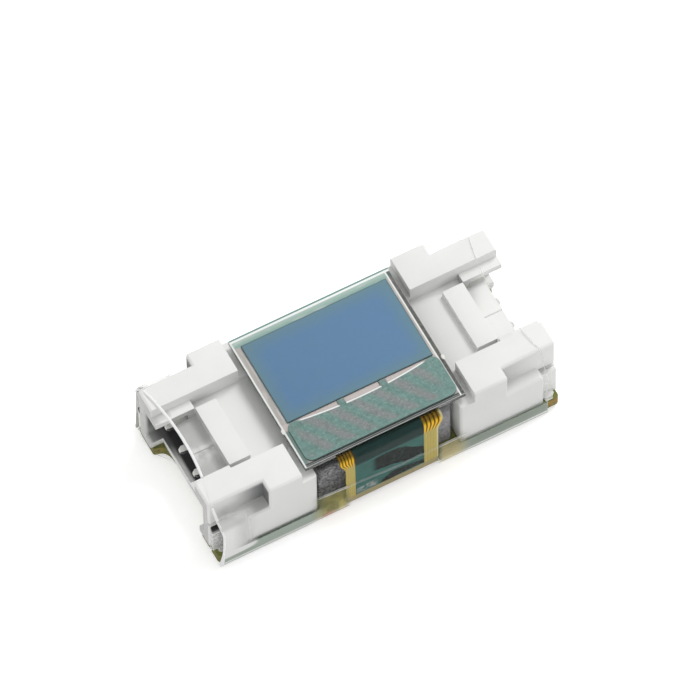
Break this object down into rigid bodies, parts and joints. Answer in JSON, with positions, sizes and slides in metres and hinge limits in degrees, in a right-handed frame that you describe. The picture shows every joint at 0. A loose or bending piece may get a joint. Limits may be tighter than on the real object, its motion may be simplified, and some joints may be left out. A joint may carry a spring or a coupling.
{
  "type": "display module",
  "caption": "Small OLED display module: a glass panel over a narrow circuit board, seated between side-entry wire sockets and wrapped in a clear shrink sleeve.",
  "frame": {"origin": "middle of the underside of the sleeve's two flat ends, below the middle of the board", "axes": "+X along the module towards the right socket, +Z out of the display face, so -Y is the edge that the flex tail folds over"},
  "size_m": [0.026, 0.0124, 0.0069],
  "materials": {
    "board_mask": "olive-green solder mask on glass-fibre board, brown cut edge",
    "housing_nylon": "moulded warm-white nylon, fine matt",
    "contact_tin": "bright tin plate",
    "tab_tin": "dull tin plate",
    "front_glass": "clear polished glass, ground edges",
    "back_glass": "clear glass with an etched hollow",
    "viewing_film": "glossy blue-grey filter film",
    "ledge_film": "teal film with slanting darker bands",
    "emitter": "dark mirror-like layers",
    "chip_silicon": "polished dark silicon",
    "flex_film": "amber flex film with gold traces and a teal cover layer",
    "solder": "bright solder",
    "foam": "dark grey closed-cell foam",
    "chip_body": "black moulded epoxy, tin-plated leads",
    "capacitor_body": "tan ceramic with tin ends",
    "resistor_body": "black-coated ceramic with tin ends",
    "sleeve_film": "clear glossy shrink film"
  },
  "bodies": {
    "root": {"circuit_board": "board_mask", "left_socket_housing": "housing_nylon", "right_socket_housing": "housing_nylon", "front_glass": "front_glass", "back_glass": "back_glass", "viewing_film": "viewing_film", "ledge_film": "ledge_film", "emitter_stack": "emitter", "driver_chip": "chip_silicon", "flex_tail": "flex_film", "flex_solder_joints": "solder", "foam_pad": "foam", "voltage_regulator": "chip_body", "shrink_sleeve": "sleeve_film", "left_contact_1": "contact_tin", "left_contact_2": "contact_tin", "left_contact_3": "contact_tin", "left_contact_4": "contact_tin", "left_solder_tab_front": "tab_tin", "left_solder_tab_back": "tab_tin", "right_contact_1": "contact_tin", "right_contact_2": "contact_tin", "right_contact_3": "contact_tin", "right_contact_4": "contact_tin", "right_solder_tab_front": "tab_tin", "right_solder_tab_back": "tab_tin", "capacitor_1": "capacitor_body", "resistor_1": "resistor_body", "capacitor_2": "capacitor_body", "resistor_2": "resistor_body", "capacitor_3": "capacitor_body", "resistor_3": "resistor_body"}
  },
  "joints": []
}
